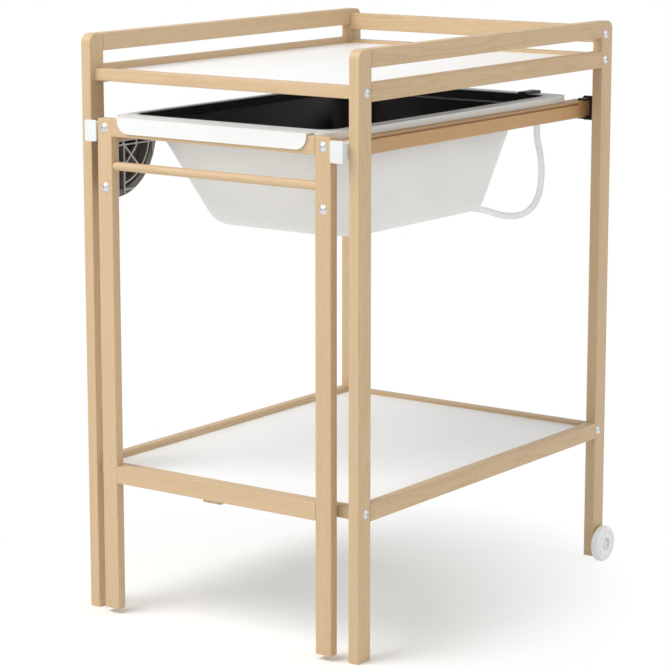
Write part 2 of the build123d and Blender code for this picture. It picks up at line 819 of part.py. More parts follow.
def tub_liner():
    """Dark inner skin that lines the tray and the basin."""
    near, far = liner_gap, liner_gap + liner_wall
    solid = tray(near, tray_floor + near, rim_top)
    solid += basin(tub_wall + near, tray_floor + far, floor_level + tub_wall + near)
    solid -= tray(far, tray_floor + far, rim_top + cut_over)
    solid -= basin(tub_wall + far, tray_floor + far + cut_over, liner_floor)
    return solid - drain_hole()


def rim_bead():
    """Grey bead on the rim round the mouth."""
    bead = tray(-bead_width, rim_top, rim_top + bead_height)
    return bead - tray(0, rim_top - cut_over, rim_top + cut_over)


def drain_ring(bottom, height, outer, inner):
    """A flat ring about the drain's axis."""
    return extrude(Pos(0, drain_y, bottom) * (Circle(outer) - Circle(inner)), height)


def drain_fitting():
    flange = drain_ring(liner_floor, drain_flange_thick, drain_flange_radius, drain_bore_radius)
    return flange + drain_ring(tail_bottom, liner_floor - tail_bottom, drain_radius, drain_bore_radius)


def drain_nut():
    bottom = floor_level - drain_nut_height
    return drain_ring(bottom, drain_nut_height, drain_nut_radius, drain_radius + drain_play)


def drain_elbow():
    """Closed cup under the drain with a spigot that the hose leaves from."""
    tip = (spigot_across, drain_y + spigot_along, elbow_mid)
    start = (0, drain_y, elbow_mid)
    top = (0, drain_y, tail_bottom)
    solid = rod((0, drain_y, elbow_bottom), top, drain_radius) + rod(start, tip, spigot_radius)
    cavity = rod((0, drain_y, elbow_bottom + elbow_wall), top, drain_radius - elbow_wall)
    return solid - cavity - rod(start, tip, spigot_bore_radius)


def tub_plug():
    """Drain plug: a cap over the fitting's flange, a tapered stem in its bore and a pull knob."""
    cap_bottom = flange_top + plug_gap
    cap_top = cap_bottom + plug_cap_thick
    cap = rod((0, drain_y, cap_bottom), (0, drain_y, cap_top), plug_cap_radius)
    cap = fillet(cap.edges().sort_by(Axis.Z)[-1], plug_cap_thick / 2)
    stem_low = plug_stem_radius - plug_stem_draw
    stem = Cone(stem_low, plug_stem_radius, plug_stem_length, align=(Align.CENTER, Align.CENTER, Align.MAX))
    knob = rod((0, drain_y, cap_top), (0, drain_y, cap_top + plug_knob_height), plug_knob_radius)
    knob = fillet(knob.edges().sort_by(Axis.Z)[-1], plug_knob_radius / 2)
    return cap + Pos(0, drain_y, cap_bottom) * stem + knob


def hose_path():
    """Straight runs joined by arcs as large as the two runs beside each corner allow."""
    points = [Vector(*point) for point in hose_route]
    runs = [after - before for before, after in zip(points, points[1:])]
    radii = []
    for before, after in zip(runs, runs[1:]):
        turn = math.radians(before.get_angle(after))
        shorter = min(before.length, after.length)
        radii.append(hose_fillet_share * shorter / math.tan(turn / 2))
    print("hose radii", [round(radius, 1) for radius in radii])
    return FilletPolyline(*points, radius=radii)


def drain_hose():
    path = hose_path()
    section = Circle(hose_radius) - Circle(spigot_bore_radius)
    hose = sweep(Plane(origin=path @ 0, z_dir=path % 0) * section, path=path)
    print("hose length", round(path.length, 1))
    print("hose volume over section times length", round(hose.volume / (section.area * path.length), 5))
    return hose


def hose_hook():
    """Saddle over the rear rim with a socket behind the table's rear bar for the hose's end."""
    back = rear_bar_back + hook_gap
    x, y, z = leg_inner_x - socket_inset, back + hook_thick + socket_stand, rim_top - socket_drop
    low_x, high_x = x + hook_offset - hook_width / 2, x + hook_offset + hook_width / 2
    over = rim_top + bead_height + hook_gap
    inner = tray_rear - liner_gap - liner_wall - hook_gap
    solid = block((low_x, inner - hook_thick, over), (high_x, back + hook_thick, over + hook_thick))
    solid += block((low_x, inner - hook_thick, rim_top - hook_drop), (high_x, inner, over + hook_thick))
    solid += block((low_x, back, z), (high_x, back + hook_thick, over + hook_thick))
    solid = fillet(solid.edges().filter_by(Axis.X).group_by(Axis.Z)[-1], hook_round)
    socket_radius_out = hose_radius + socket_wall
    solid += block((x - socket_radius_out / 2, back, z), (x + socket_radius_out / 2, y, z + socket_length))
    solid += rod((x, y, z), (x, y, z + socket_length), socket_radius_out)
    return solid - rod((x, y, z), (x, y, z + socket_length - socket_wall), spigot_bore_radius)


def model():
    """Every node's name and its solids."""
    nodes = {}
    for name, solid in {
        "front_post": front_post(),
        "rear_post": rear_post(),
        "guard_rail": side_rail("guard_rail"),
        "top_rail": side_rail("top_rail"),
        "shelf_rail": side_rail("shelf_rail"),
        "slide_guide": slide_guide(),
        "rear_guide": rear_guide(),
        "carriage_leg": carriage_leg(),
        "carriage_rail": carriage_rail(),
        "wheel": wheel(),
    }.items():
        left, right = pair(solid)
        nodes[name + "_left"] = [left]
        nodes[name + "_right"] = [right]
    nodes["carriage_rail_left"][0] -= mirror(brace_screw_hole(), about=Plane.YZ)
    nodes["leg_brace"] = [mirror(brace(), about=Plane.YZ)]
    nodes["front_top_rail"] = [seat_rail(-1, top_rail_level)]
    nodes["front_shelf_rail"] = [front_shelf_rail()]
    nodes["rear_guard_rail"] = [cross_rail(1, rear_guard_level, rear_guard_depth, rail_height)]
    nodes["rear_top_rail"] = [seat_rail(1, top_rail_level)]
    nodes["rear_shelf_rail"] = [seat_rail(1, shelf_rail_level)]
    nodes["changing_board"] = [board(top_rail_level)]
    nodes["shelf_board"] = [board(shelf_rail_level)]
    nodes["rail_block"] = [rail_block()]
    nodes["block_screws"] = [pan_screw(seat, (0, 0, 1), block_screw_length) for seat in block_screw_seats()]
    nodes["frame_bolts"] = frame_bolts()
    nodes["frame_barrel_nuts"] = frame_nuts()
    nodes["frame_dowels"] = all_frame_dowels()
    nodes["slide_guide_screws"] = []
    for seat in guide_screw_seats():
        nodes["slide_guide_screws"] += pair(guide_screw(seat))
    nodes["rear_guide_screws"] = []
    for seat in cup_screw_seats():
        nodes["rear_guide_screws"] += pair(pan_screw(seat, (0, -1, 0), cup_screw_length))
    pin, washer, nut = axle_parts()
    nodes["wheel_pins"] = pair(pin)
    nodes["wheel_washers"] = pair(washer)
    nodes["wheel_lock_nuts"] = pair(nut)
    nodes["carriage_front_bar"] = [carriage_bar("front")]
    nodes["carriage_lower_bar"] = [carriage_bar("lower")]
    nodes["carriage_rear_bar"] = [carriage_bar("rear")]
    nodes["towel_bar"] = [towel_bar()]
    nodes["carriage_bolts"] = carriage_bolts()
    nodes["carriage_nuts"] = carriage_nuts()
    nodes["carriage_dowels"] = carriage_dowels()
    brace_screw = pan_screw(brace_screw_seat(), (0, 0, 1), brace_wall + screw_grip)
    nodes["brace_screw"] = [mirror(brace_screw, about=Plane.YZ)]
    nodes["bathtub_shell"] = [bathtub()]
    nodes["bathtub_liner"] = [tub_liner()]
    nodes["rim_bead"] = [rim_bead()]
    nodes["drain_fitting"] = [drain_fitting()]
    nodes["drain_nut"] = [drain_nut()]
    nodes["drain_elbow"] = [drain_elbow()]
    nodes["drain_plug"] = [tub_plug()]
    nodes["drain_hose"] = [drain_hose()]
    nodes["hose_hook"] = [hose_hook()]
    return nodes


os.makedirs("parts", exist_ok=True)
for node, solids in model().items():
    placed = [Pos(0, origin_shift, 0) * solid for solid in solids]
    shape = placed[0] if len(placed) == 1 else Compound(children=placed)
    export_step(shape, "parts/" + node + ".step")
print("slide travel", round(slot_rear - tongue_rear, 1), "origin shift", round(origin_shift, 3))
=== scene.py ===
import json
import math

import bmesh
import bpy
import numpy as np
from bpy.props import FloatProperty, FloatVectorProperty, PointerProperty
from mathutils import Matrix, Vector


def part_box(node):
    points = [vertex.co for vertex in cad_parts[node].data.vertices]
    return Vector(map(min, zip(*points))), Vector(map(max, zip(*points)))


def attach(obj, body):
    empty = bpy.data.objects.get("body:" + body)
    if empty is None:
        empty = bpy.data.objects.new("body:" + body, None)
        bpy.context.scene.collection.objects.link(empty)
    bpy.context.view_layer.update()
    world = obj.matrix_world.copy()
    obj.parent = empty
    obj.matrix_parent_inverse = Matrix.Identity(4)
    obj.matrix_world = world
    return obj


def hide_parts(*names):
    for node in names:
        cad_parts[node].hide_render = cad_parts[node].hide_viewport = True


bl_info = {
    "name": "Changing table with bathtub",
    "version": (1, 0, 0),
    "blender": (4, 5, 0),
    "location": "View3D > Sidebar > Changing table",
    "description": "Finishes for a beech changing table, its bathtub and drain hose, and a studio",
    "category": "Add Mesh",
}

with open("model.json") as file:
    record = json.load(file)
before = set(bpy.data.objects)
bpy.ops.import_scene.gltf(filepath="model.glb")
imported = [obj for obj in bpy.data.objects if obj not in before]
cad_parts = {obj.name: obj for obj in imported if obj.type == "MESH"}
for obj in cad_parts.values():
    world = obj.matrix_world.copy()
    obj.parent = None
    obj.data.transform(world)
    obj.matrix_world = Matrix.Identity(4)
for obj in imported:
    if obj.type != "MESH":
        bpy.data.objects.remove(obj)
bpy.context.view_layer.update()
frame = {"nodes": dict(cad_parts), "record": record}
nodes = frame["nodes"]
finish_of = {part["node"]: part["material_slot"] for part in frame["record"]["subparts"]}
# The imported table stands 0.8 mm further back than its source, whose places are used below.
table_middle = Vector((0.0, 0.0008, 0.0))


def colour_property(name, description, default):
    return FloatVectorProperty(
        name=name, description=description, default=default, subtype="COLOR", size=3, min=0.0, max=1.0)


def place_property(name, description, default):
    return FloatVectorProperty(
        name=name, description=description, default=default, subtype="XYZ", unit="LENGTH", size=3)


def length_property(name, description, default):
    return FloatProperty(name=name, description=description, default=default, unit="LENGTH", min=0.0)


def share_property(name, description, default):
    return FloatProperty(
        name=name, description=description, default=default, subtype="FACTOR", min=0.0, max=1.0)


def angle_property(name, description, degrees):
    return FloatProperty(
        name=name, description=description, default=math.radians(degrees), subtype="ANGLE")


def power_property(name, description, default):
    return FloatProperty(name=name, description=description, default=default, unit="POWER", min=0.0)


class WoodSettings(bpy.types.PropertyGroup):
    """Varnished beech."""

    pale: colour_property("Pale wood", "Beech between the growth rings", (0.655, 0.482, 0.296))
    deep: colour_property("Late wood", "Beech in the dark line of a growth ring", (0.50, 0.34, 0.183))
    # Painted shade: darker, warmer beech for the carriage's side rails, standing in for the shade they lie in
    # under the tub's rim.
    rail: colour_property("Carriage rails", "Warmer beech of the carriage's side rails", (0.56, 0.32, 0.14))
    fleck: colour_property("Flecks", "The short ray flecks", (0.40, 0.245, 0.13))
    ring_width: length_property("Ring width", "Distance between two growth rings", 0.0034)
    ring_wander: length_property("Ring wander", "How far the rings wander from a circle", 0.03)
    ring_share: share_property("Ring contrast", "How much the growth rings darken the wood", 0.34)
    streak_share: share_property("Streak contrast", "How much broad streaks darken the wood", 0.62)
    fibre_share: share_property("Fibre contrast", "How much fine fibres darken the wood", 0.30)
    bar_share: share_property("Bar contrast", "How much the bars differ in tone", 0.12)
    fleck_share: share_property("Fleck contrast", "How much the ray flecks show", 0.42)
    roughness: share_property("Roughness", "Roughness of the satin varnish", 0.42)
    gloss: share_property("Gloss", "Reflection of the wood under its varnish", 0.34)
    varnish: share_property("Varnish", "Weight of the clear coat", 0.05)
    varnish_roughness: share_property("Varnish roughness", "Roughness of the clear coat", 0.3)


class BoardSettings(bpy.types.PropertyGroup):
    """White laminate of the two boards."""

    colour: colour_property("Laminate", "Colour of the laminate", (0.955, 0.965, 0.965))
    roughness: share_property("Roughness", "Roughness of the laminate", 0.34)


class TubSettings(bpy.types.PropertyGroup):
    """Plastics of the bathtub, and the outer wall of its basin."""

    shell: colour_property("Shell", "White outer shell", (0.815, 0.82, 0.805))
    liner: colour_property("Liner", "Dark inner skin", (0.022, 0.019, 0.015))
    bead: colour_property("Bead", "Grey bead round the mouth", (0.52, 0.56, 0.56))
    roughness: share_property("Roughness", "Roughness of the moulded shell", 0.36)
    mouth_width: length_property("Mouth width", "Basin's width outside at its mouth", 0.4008)
    mouth_front: length_property("Mouth front", "From the table's middle to the mouth's front", 0.3584)
    mouth_rear: length_property("Mouth rear", "From the table's middle to the mouth's rear", 0.2684)
    mouth_corner: length_property("Mouth corner", "Corner radius of the mouth", 0.082)
    mouth_height: length_property("Mouth height", "Height of the mouth over the floor", 0.8495)
    floor_width: length_property("Floor width", "Basin's width outside at its floor", 0.316)
    floor_front: length_property("Floor front", "From the table's middle to the floor's front edge", 0.236)
    floor_rear: length_property("Floor rear", "From the table's middle to the floor's rear edge", 0.204)
    floor_corner: length_property("Floor corner", "Corner radius of the basin's floor", 0.062)
    floor_height: length_property("Floor height", "Height of the basin's underside", 0.6684)
    edge_bend: length_property("Edge bend", "How far the rounding of the floor's edge reaches", 0.022)
    wall: length_property("Wall", "Thickness of the basin's outer wall", 0.0012)


class FittingSettings(bpy.types.PropertyGroup):
    """Small plastic and metal parts."""

    white: colour_property("White plastic", "Guides and drain parts", (0.76, 0.78, 0.785))
    # Painted light: the wheels are a paler copy of the white plastic, lighter than the guides, standing in
    # for the light on their faces.
    wheel: colour_property("Wheel plastic", "The two wheels", (0.96, 0.965, 0.96))
    grey: colour_property("Grey plastic", "Ribbed corner brace", (0.185, 0.17, 0.155))
    # Painted highlight: the paler colour of the brace's rib edges stands in for the light they catch.
    edge: colour_property("Rib edges", "Pale edges of the brace's ribs", (0.52, 0.50, 0.48))
    black: colour_property("Black plastic", "Rear guides and the hose hook", (0.044, 0.030, 0.022))
    zinc: colour_property("Zinc", "Plated bolts, nuts and screws", (0.80, 0.80, 0.83))
    roughness: share_property("Roughness", "Roughness of guides, hook and drain parts", 0.42)
    wheel_roughness: share_property("Wheel roughness", "Roughness of the wheels", 0.38)
    brace_roughness: share_property("Brace roughness", "Roughness of the corner brace", 0.46)
    zinc_roughness: share_property("Zinc roughness", "Roughness of the brightest zinc", 0.24)


class HoseSettings(bpy.types.PropertyGroup):
    """Drain hose."""

    colour: colour_property("Vinyl", "Milky vinyl of the hose", (0.93, 0.955, 0.945))
    diameter: length_property("Diameter", "Outside diameter of the hose", 0.012)
    length: length_property("Length", "Length from the drain to the hook", 0.385)
    opacity: share_property("Opacity", "How much of the hose's wall is milky", 0.46)
    edge_opacity: share_property("Edge opacity", "How much more solid the wall is edge-on", 0.32)
    roughness: share_property("Roughness", "Roughness of the clearest vinyl", 0.16)


class StudioSettings(bpy.types.PropertyGroup):
    """Camera, lamps, sky and floor."""

    azimuth: angle_property("Azimuth", "Camera's turn from the front to the right", 35.77)
    elevation: angle_property("Elevation", "Camera's rise above the level", 11.04)
    distance: length_property("Distance", "From the target to the camera", 4.6732)
    target: place_property("Target", "What the camera points at", (-0.02883, -0.02077, 0.45323))
    lens: FloatProperty(
        name="Lens", description="Focal length on a 36 mm sensor", default=141.09, unit="CAMERA")
    key: power_property("Key lamp", "Power of the large soft lamp at the front left", 99.0)
    key_place: place_property("Key place", "Where the key lamp hangs", (-1.1, -2.3, 3.5))
    key_size: length_property("Key size", "Width of the key lamp", 2.8)
    fill: power_property("Fill lamp", "Power of the weak lamp at the right", 16.0)
    fill_place: place_property("Fill place", "Where the fill lamp hangs", (3.2, 0.6, 2.2))
    fill_size: length_property("Fill size", "Width of the fill lamp", 2.2)
    lamp_aim: place_property("Lamp aim", "What both lamps point at", (0.0, 0.0, 0.5))
    sky: FloatProperty(name="Sky", description="Strength of the even light from all round", default=0.65)
    floor: colour_property("Floor", "Colour of the floor", (0.965, 0.965, 0.955))
    floor_reach: length_property("Floor reach", "From the table's middle to the floor's edge", 14.0)
    shadow_middle: place_property("Shadow middle", "Middle of the floor's shaded patch", (-0.05, -0.55, 0.0))
    shadow_start: length_property("Shadow start", "Where the floor starts to turn white", 0.38)
    shadow_end: length_property("Shadow end", "Where the floor has become plain white", 0.68)
    shadow_squeeze: share_property("Shadow squeeze", "The patch's width over its depth", 0.6)


settings_groups = {
    "table_wood": WoodSettings,
    "table_boards": BoardSettings,
    "table_tub": TubSettings,
    "table_fittings": FittingSettings,
    "table_hose": HoseSettings,
    "table_studio": StudioSettings,
}


class Number:
    """A number in a material. Expressions on it add Math nodes."""

    def __init__(self, shader, socket):
        self.shader = shader
        self.socket = socket

    def __add__(self, other):
        return self.shader.maths("ADD", self, other)

    def __sub__(self, other):
        return self.shader.maths("SUBTRACT", self, other)

    def __rsub__(self, other):
        return self.shader.maths("SUBTRACT", other, self)

    def __mul__(self, other):
        return self.shader.maths("MULTIPLY", self, other)

    def __truediv__(self, other):
        return self.shader.maths("DIVIDE", self, other)

    def __pow__(self, other):
        return self.shader.maths("POWER", self, other)

    __radd__ = __add__
    __rmul__ = __mul__


class Shader:
    """A material or a world that is built up node by node."""

    def __init__(self, owner):
        self.owner = owner
        owner.use_nodes = True
        self.tree = owner.node_tree
        self.tree.nodes.clear()

    def node(self, kind, settings=None, sockets=None):
        """Adds a node, sets its settings and then the values or links of its sockets."""
        node = self.tree.nodes.new(kind)
        for name, value in (settings or {}).items():
            setattr(node, name, value)
        for name, value in (sockets or {}).items():
            self.feed(node.inputs[name], value)
        return node

    def feed(self, socket, value):
        value = value.socket if isinstance(value, Number) else value
        if isinstance(value, bpy.types.NodeSocket):
            self.tree.links.new(value, socket)
        elif socket.type == "RGBA" and len(value) == 3:
            socket.default_value = (*value, 1)
        else:
            socket.default_value = value

    def maths(self, operation, first, second=0.0):
        node = self.node("ShaderNodeMath", {"operation": operation}, {0: first, 1: second})
        return Number(self, node.outputs[0])

    def clamped(self, number, low, high):
        """The number's way from low to high, kept between 0 and 1."""
        node = self.node("ShaderNodeMapRange", {}, {"Value": number, "From Min": low, "From Max": high})
        return Number(self, node.outputs["Result"])

    def mix(self, share, first, second):
        """A colour between the first, at share 0, and the second, at share 1."""
        settings = {"data_type": "RGBA", "clamp_factor": True}
        node = self.node("ShaderNodeMix", settings, {0: share, 6: first, 7: second})
        return node.outputs[2]

    def place(self, turn=(0, 0, 0), shift=(0, 0, 0)):
        """Object coordinates in metres, turned and then shifted."""
        source = self.node("ShaderNodeTexCoord").outputs["Object"]
        node = self.node("ShaderNodeMapping", {}, {"Vector": source, "Rotation": turn, "Location": shift})
        return node.outputs["Vector"]

    def stretched(self, place, scales):
        node = self.node("ShaderNodeVectorMath", {"operation": "MULTIPLY"}, {0: place, 1: scales})
        return node.outputs["Vector"]

    def length(self, vector):
        node = self.node("ShaderNodeVectorMath", {"operation": "LENGTH"}, {0: vector})
        return Number(self, node.outputs["Value"])

    def noise(self, place, scale=1.0, detail=2.0, roughness=0.5):
        """Noise between 0 and 1, with so many cells in a metre."""
        sockets = {"Vector": place, "Scale": scale, "Detail": detail, "Roughness": roughness}
        return Number(self, self.node("ShaderNodeTexNoise", {}, sockets).outputs["Fac"])

    def bump(self, height, distance, strength):
        sockets = {"Height": height, "Distance": distance, "Strength": strength}
        return self.node("ShaderNodeBump", {}, sockets).outputs["Normal"]

    def end(self, kind, surface):
        """Links the last shader to an output node of this kind."""
        output = self.node(kind)
        self.tree.links.new(surface, output.inputs["Surface"])
        return self.owner

    def finish(self, sockets):
        """Ends the material in one Principled surface."""
        surface = self.node("ShaderNodeBsdfPrincipled", {}, sockets)
        return self.end("ShaderNodeOutputMaterial", surface.outputs["BSDF"])


def new_material(name):
    return Shader(bpy.data.materials.new(name))


def shaded(colour, share):
    return tuple(share * part for part in colour)


def paint(obj, material):
    """Puts the material into the object's slots, or gives it one."""
    if not obj.material_slots:
        obj.data.materials.append(material)
    for slot in obj.material_slots:
        slot.material = material


def nodes_with(finish):
    return sorted(name for name, slot in finish_of.items() if slot == finish)


def long_axis(name):
    """Which of X, Y and Z a wooden piece's grain runs along."""
    if "dowels" in name:
        return "Y" if name.startswith("frame") else "X"
    low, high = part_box(name)
    sides = [b - a for a, b in zip(low, high)]
    return "XYZ"[sides.index(max(sides))]


grain_turns = {"X": (0, math.radians(-90), 0), "Y": (math.radians(90), 0, 0), "Z": (0, 0, 0)}
# Fractions whose multiples never line up, so that no two bars are cut from one place in the trunk.
golden_fraction = 0.618034
silver_fraction = 0.414214
# Metres: how near the pith a cut may come, and how far the cuts spread across and along the trunk.
pith_distance = 0.35
trunk_depth = 0.9
trunk_length = 1.7
# Noise cells in a metre: across the grain, the two ways, and along it.
wave_cells = (22, 22, 2.2)
streak_cells = (46, 46, 1.6)
fibre_cells = (520, 520, 16)
ray_cells = (1500, 620, 150)
# The middle of a noise, from which it goes up and down.
noise_middle = 0.5
streak_middle = 0.32
late_wood_power = 3.0
# The pores' relief: fibres and late wood rise, and ray flecks dip.
fibre_rise = 0.6
ring_rise = 0.3
fleck_dip = 0.5


def beech(name, index, wood):
    """Beech with its own cut: the grain runs along the piece, and the rings lie about a distant pith.

    A ring's number is the distance from the pith, made wavy by noise, over the ring width, and its
    fraction darkens slowly and ends at once, as late wood does."""
    shader = new_material("beech_" + name)
    golden = (index * golden_fraction) % 1
    silver = (index * silver_fraction) % 1
    shift = (pith_distance + golden, trunk_depth * silver, trunk_length * golden)
    place = shader.place(grain_turns[long_axis(name)], shift)
    wave = shader.noise(shader.stretched(place, wave_cells))
    away = shader.length(shader.stretched(place, (1.0, 1.0, 0.0)))
    turns = (away + wood.ring_wander * wave) / wood.ring_width
    ring = shader.maths("FRACT", turns) ** late_wood_power
    streak = shader.noise(shader.stretched(place, streak_cells), detail=3.0, roughness=0.6)
    fibre = shader.noise(shader.stretched(place, fibre_cells))
    rays = shader.noise(shader.stretched(place, ray_cells), detail=1.0)
    fleck = shader.clamped(rays, low=0.60, high=0.72)
    figure = (
        wood.ring_share * ring
        + wood.streak_share * (streak - streak_middle)
        + wood.fibre_share * (fibre - noise_middle)
        + wood.bar_share * golden
    )
    # The carriage's side rails take the darker beech of painted shade in place of the pale wood.
    pale = wood.rail if name.startswith("carriage_rail_") else wood.pale
    colour = shader.mix(figure, pale, wood.deep)
    colour = shader.mix(wood.fleck_share * fleck, colour, wood.fleck)
    height = fibre_rise * fibre + ring_rise * ring - fleck_dip * fleck
    return shader.finish({
        "Base Color": colour,
        "Roughness": wood.roughness + 0.10 * (fibre - noise_middle) + 0.05 * fleck,
        "Specular IOR Level": wood.gloss,
        "Coat Weight": wood.varnish,
        "Coat Roughness": wood.varnish_roughness,
        "Normal": shader.bump(height, distance=0.00018, strength=0.5),
    })


def laminate(board):
    """White laminate with a faint cloudiness and a fine pebbled surface."""
    shader = new_material("white_laminate")
    place = shader.place()
    cloud = shader.noise(place, scale=7.0, detail=3.0)
    pebble = shader.noise(place, scale=620.0, detail=1.0)
    dull = shader.clamped(cloud, low=0.35, high=0.7)
    return shader.finish({
        "Base Color": shader.mix(dull, board.colour, shaded(board.colour, 0.965)),
        "Roughness": board.roughness + 0.08 * (cloud - noise_middle),
        "Normal": shader.bump(pebble, distance=0.00006, strength=0.4),
    })


def eroded_grain(shader, place):
    """The fine grain that a spark-eroded mould leaves on plastic."""
    return shader.noise(place, scale=900.0, detail=1.0)


def flow_shades(shader, flow, colour, shade):
    """The plastic's colour, darker by a share where it flowed more slowly into the mould."""
    slow = shader.clamped(flow, low=0.36, high=0.66)
    return shader.mix(slow, colour, shaded(colour, shade))


def uneven(roughness, flow, flow_share, grain):
    """A roughness that varies by a share with the flow, and a little with the grain."""
    return roughness + flow_share * (flow - noise_middle) + 0.07 * (grain - noise_middle)


def moulded(name, colour, roughness, shade, grain_height=0.00005):
    """Moulded plastic: slow flow shades, a fine spark-eroded grain and slightly uneven gloss."""
    shader = new_material(name)
    place = shader.place()
    flow = shader.noise(shader.stretched(place, (5, 5, 11)), detail=3.0, roughness=0.55)
    grain = eroded_grain(shader, place)
    return shader.finish({
        "Base Color": flow_shades(shader, flow, colour, shade),
        "Roughness": uneven(roughness, flow, 0.09, grain),
        "Normal": shader.bump(grain, grain_height, strength=0.5),
    })


def ribbed(name, fittings, highlight_start=0.0022, highlight_full=0.0006):
    """Moulded grey plastic with a painted highlight: its rib edges, the faces nearest the table's middle, are
    painted paler, as if lit.

    The painted highlight starts some way behind those faces and is full a little way behind them."""
    shader = new_material("grey_plastic")
    place = shader.place()
    flow = shader.noise(place, scale=26.0, detail=3.0)
    grain = eroded_grain(shader, place)
    across = shader.node("ShaderNodeSeparateXYZ", {}, {"Vector": place}).outputs["X"]
    rib_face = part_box(name)[1][0]
    # pale is the share of the painted highlight: none behind the rib edges, full near the faces that catch
    # the light.
    pale = shader.clamped(Number(shader, across), rib_face - highlight_start, rib_face - highlight_full)
    body = flow_shades(shader, flow, fittings.grey, 0.86)
    return shader.finish({
        "Base Color": shader.mix(pale, body, fittings.edge),
        "Roughness": uneven(fittings.brace_roughness, flow, 0.10, grain),
        "Normal": shader.bump(grain, distance=0.00008, strength=0.5),
    })


def zinc_plate(fittings):
    """Bright zinc with fine turning marks and slight clouding."""
    shader = new_material("zinc_steel")
    place = shader.place()
    cloud = shader.noise(place, scale=240.0)
    marks = shader.noise(shader.stretched(place, (2400, 2400, 300)), detail=1.0)
    dull = shader.clamped(cloud, low=0.4, high=0.75)
    return shader.finish({
        "Base Color": shader.mix(dull, fittings.zinc, shaded(fittings.zinc, 0.74)),
        "Metallic": 1.0,
        "Roughness": fittings.zinc_roughness + 0.22 * cloud + 0.08 * marks,
        "Normal": shader.bump(marks, distance=0.00003, strength=0.4),
    })


def vinyl(hose):
    """Milky clear vinyl: the wall is more solid where it turns edge-on to the eye."""
    shader = new_material("hose_vinyl")
    cloud = shader.noise(shader.place(), scale=60.0)
    facing = Number(shader, shader.node("ShaderNodeLayerWeight", {}, {"Blend": 0.42}).outputs["Facing"])
    milky = shader.clamped(cloud, low=0.35, high=0.7)
    return shader.finish({
        "Base Color": shader.mix(milky, hose.colour, shaded(hose.colour, 0.9)),
        "Roughness": hose.roughness + 0.08 * cloud,
        "Alpha": hose.opacity + hose.edge_opacity * facing + 0.08 * (cloud - noise_middle),
        "Normal": shader.bump(cloud, distance=0.0001, strength=0.3),
    })


def fade_to_white(shader, lit, share):
    """Turns the lit surface into plain white by a share, for rays of the camera, a mirror or glass."""
    path = shader.node("ShaderNodeLightPath").outputs
    seen = Number(shader, path["Is Camera Ray"]) + Number(shader, path["Is Glossy Ray"])
    seen = shader.maths("MINIMUM", seen + Number(shader, path["Is Transmission Ray"]), 1.0)
    white = shader.node("ShaderNodeEmission", {}, {"Strength": 1.0}).outputs["Emission"]
    both = shader.node("ShaderNodeMixShader", {}, {0: seen * share, 1: lit, 2: white})
    return shader.end("ShaderNodeOutputMaterial", both.outputs["Shader"])


def add_object(context, name, data):
    piece = bpy.data.objects.new(name, data)
    context.scene.collection.objects.link(piece)
    return piece


def grid_mesh(name, points):
    """A mesh from a grid of points: neighbours along both sides of the grid make the faces."""
    rows, columns = points.shape[:2]
    mesh = bpy.data.meshes.new(name)
    corner = (np.arange(rows - 1)[:, None] * columns + np.arange(columns - 1)).ravel()
    faces = np.stack([corner, corner + 1, corner + columns + 1, corner + columns], axis=1)
    mesh.from_pydata(points.reshape(-1, 3).tolist(), [], faces.tolist())
    mesh.update()
    return mesh


def close_seams(mesh, reach=0.000001):
    """Joins the points that lie in one place, along a seam or at a pole."""
    shape = bmesh.new()
    shape.from_mesh(mesh)
    bmesh.ops.remove_doubles(shape, verts=shape.verts, dist=reach)
    shape.to_mesh(mesh)
    shape.free()


class TABLE_OT_wood(bpy.types.Operator):
    """Varnish every wooden bar in beech, each with its own grain"""

    bl_idname = "table.wood"
    bl_label = "Beech frame and carriage"

    def execute(self, context):
        wood = context.scene.table_wood
        for index, name in enumerate(nodes_with("beech")):
            paint(nodes[name], beech(name, index, wood))
        return {"FINISHED"}


class TABLE_OT_boards(bpy.types.Operator):
    """Cover the changing board and the shelf board with white laminate"""

    bl_idname = "table.boards"
    bl_label = "White boards"

    def execute(self, context):
        material = laminate(context.scene.table_boards)
        for name in nodes_with("white_laminate"):
            paint(nodes[name], material)
        return {"FINISHED"}


class TABLE_OT_tub(bpy.types.Operator):
    """Finish the bathtub's white shell, dark liner and grey bead"""

    bl_idname = "table.tub"
    bl_label = "Bathtub"

    def execute(self, context):
        tub = context.scene.table_tub
        colours = {"tub_white": tub.shell, "liner_dark": tub.liner, "bead_grey": tub.bead}
        for finish, colour in colours.items():
            material = moulded(finish, colour, tub.roughness, shade=0.94)
            for name in nodes_with(finish):
                paint(nodes[name], material)
        return {"FINISHED"}


def outline(width, front, rear, corner, height):
    """A rounded rectangle: half its width, its front, its rear, its corner radius and its height."""
    return np.array([width / 2, -front, rear, corner, height])


def basin_outlines(mouth, floor, bend, floor_steps=4, edge_steps=12, wall_steps=8):
    """Outlines from the floor's middle out to its edge and up to the mouth, one row for each.

    The wall runs straight between the mouth and the floor's edge. The edge is a curve of three control
    points, a on the floor, b in the sharp edge and c on the wall: (1 - t)^2 a + 2 t (1 - t) b + t^2 c."""
    _, front, rear, _, underside = floor
    middle = (front + rear) / 2
    centre = np.array([0, middle, middle, 0, underside])
    on_floor = floor + bend * np.array([-1, 1, -1, -1, 0])
    on_wall = floor + bend / (mouth[-1] - underside) * (mouth - floor)
    base = centre + np.linspace(0, 1, floor_steps + 1)[:-1, None] * (on_floor - centre)
    t = np.linspace(0, 1, edge_steps)[:, None]
    edge = (1 - t) ** 2 * on_floor + 2 * t * (1 - t) * floor + t ** 2 * on_wall
    wall = on_wall + np.linspace(0, 1, wall_steps + 1)[1:, None] * (mouth - on_wall)
    return np.vstack([base, edge, wall])


